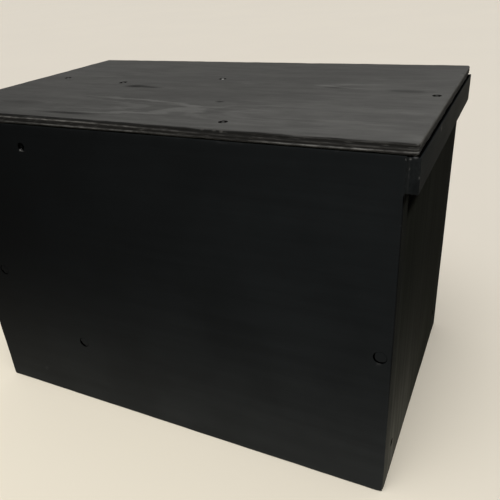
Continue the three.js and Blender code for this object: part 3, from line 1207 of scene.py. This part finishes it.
def make_seam_bead(end, side, material):
    """The paint that bridges the joint between a long wall and the end of a grip strip."""
    wall_low, wall_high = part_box(f"{end}_panel")
    strip_low, strip_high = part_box(f"grip_strip_{side}")
    y = wall_low.y + SEAM_BEAD * MM if end == "front" else wall_high.y - SEAM_BEAD * MM
    x = (strip_low.x + wall_high.x) / 2 if side == "right" else (strip_high.x + wall_low.x) / 2
    levels = np.arange(strip_low.z + 0.4 * MM, strip_high.z - 0.4 * MM, 0.5 * MM)
    angles = np.linspace(0, 2 * math.pi, 10, endpoint=False)
    rings = []
    for z in levels:
        radius = SEAM_BEAD * MM * (0.9 + 0.25 * math.sin(z / MM * 1.3) * math.sin(z / MM * 0.47))
        rings.append([(x + radius * math.cos(a), y + radius * math.sin(a), z) for a in angles])
    points = [(x, y, levels[0])] + [p for ring in rings for p in ring] + [(x, y, levels[-1])]
    faces = tube_faces(len(levels), len(angles))
    made = link_mesh(f"seam_bead_{end}_{side}", points, faces, material)
    shade(made, 60)
    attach(made, "root")
    add_attribute(made.data, "wear", np.full(len(points), 0.45))


# ---------------------------------------- assembly


def add_boards():
    lid = lid_paint()
    # The low edge tone of the front wall is light mostly as painted light, like the low front of the
    # side walls.
    front_paint = long_wall_paint("wall_paint_front", (0.072, 0.072, 0.064))
    back_paint = long_wall_paint("wall_paint_back", (0.019, 0.0195, 0.016))
    upright = side_wall_paint()
    lengthwise = strip_paint()
    plywood = bare_wood("plywood_bare", X, (0.46, 0.33, 0.20), (0.27, 0.17, 0.09))
    board = Board("top_panel", X, Y, Z, LID_CORNER, LID_ARRIS, LID_PLIES, (2.2, 5.0), 101)
    make_board("lid_board", board, lid)
    for side, seed, paint in (("front", 111, front_paint), ("back", 121, back_paint)):
        node = f"{side}_panel"
        board = Board(node, X, Z, Y, WALL_CORNER, WALL_ARRIS, WALL_PLIES, (4.5, 4.5), seed)
        make_board(f"{side}_board", board, paint)
    for side, seed in (("left", 131), ("right", 141)):
        node = f"side_panel_{side}"
        board = Board(node, Y, Z, X, SIDE_CORNER, SIDE_ARRIS, WALL_PLIES, (2.6, 2.6), seed)
        make_board(f"{side}_side_board", board, upright)
        node = f"grip_strip_{side}"
        board = Board(node, Y, Z, X, WALL_CORNER, STRIP_ARRIS, STRIP_PLIES, (2.2, 1.5), seed + 5)
        make_board(f"{side}_grip_strip", board, lengthwise)
        make_seam_bead("front", side, front_paint)
        make_seam_bead("back", side, back_paint)
    board = Board("base_panel", X, Y, Z, BASE_CORNER, BASE_ARRIS, BASE_PLIES, (7.0, 7.0), 151)
    make_board("bottom_board", board, plywood)


def add_fasteners():
    on_lid = screw_paint("screw_painted_lid", (0.030, 0.030, 0.029), 0.5, 0.0, 0.03)
    black = (0.0015, 0.0017, 0.0017)
    on_wall = screw_paint("screw_painted_wall", black, 0.6, 0.0, 0.01)
    plated = screw_paint("screw_plated", (0.42, 0.42, 0.40), 0.32, 1.0, 0.5)
    plug = long_wall_paint("plug_paint", (0.003, 0.003, 0.003))
    for name in sorted(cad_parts):
        if name.startswith("screw_"):
            painted = on_lid if name.startswith("screw_top_") else on_wall
            make_screw(name, plated if plug_over(name) else painted)
        if name.startswith("plug_"):
            make_plug(name, plug)


def finish_timber():
    """Bare wood for the posts, cleats and ribs, which keep their CAD shapes."""
    upright = bare_wood("timber_upright", Z, EARLYWOOD, LATEWOOD)
    along_x = bare_wood("timber_along_x", X, EARLYWOOD, LATEWOOD)
    along_y = bare_wood("timber_along_y", Y, EARLYWOOD, LATEWOOD)
    for name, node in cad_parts.items():
        if name.startswith("corner_post_"):
            material = upright
        elif name in ("top_cleat_front", "top_cleat_back"):
            material = along_x
        elif name.startswith(("top_cleat_", "rib_")):
            material = along_y
        else:
            continue
        node.data.materials.clear()
        node.data.materials.append(material)


def add_stage():
    half = FLOOR_HALF * MM
    signs = ((-1, -1), (1, -1), (1, 1), (-1, 1))
    corners = [(half * x, half * y, -FLOOR_BELOW * MM) for x, y in signs]
    floor = link_mesh("floor", corners, [(0, 1, 2, 3)], floor_material())


def add_light():
    add_world((1.0, 0.98, 0.945), 0.66, 0.40, (-0.22, 0.0))
    add_soft_light((0.05, -0.35, 1.0), 45, 2.25, (1.0, 0.985, 0.95))


add_camera()
bpy.context.scene.view_settings.view_transform = "Standard"
add_light()
add_stage()
add_boards()
add_fasteners()
finish_timber()
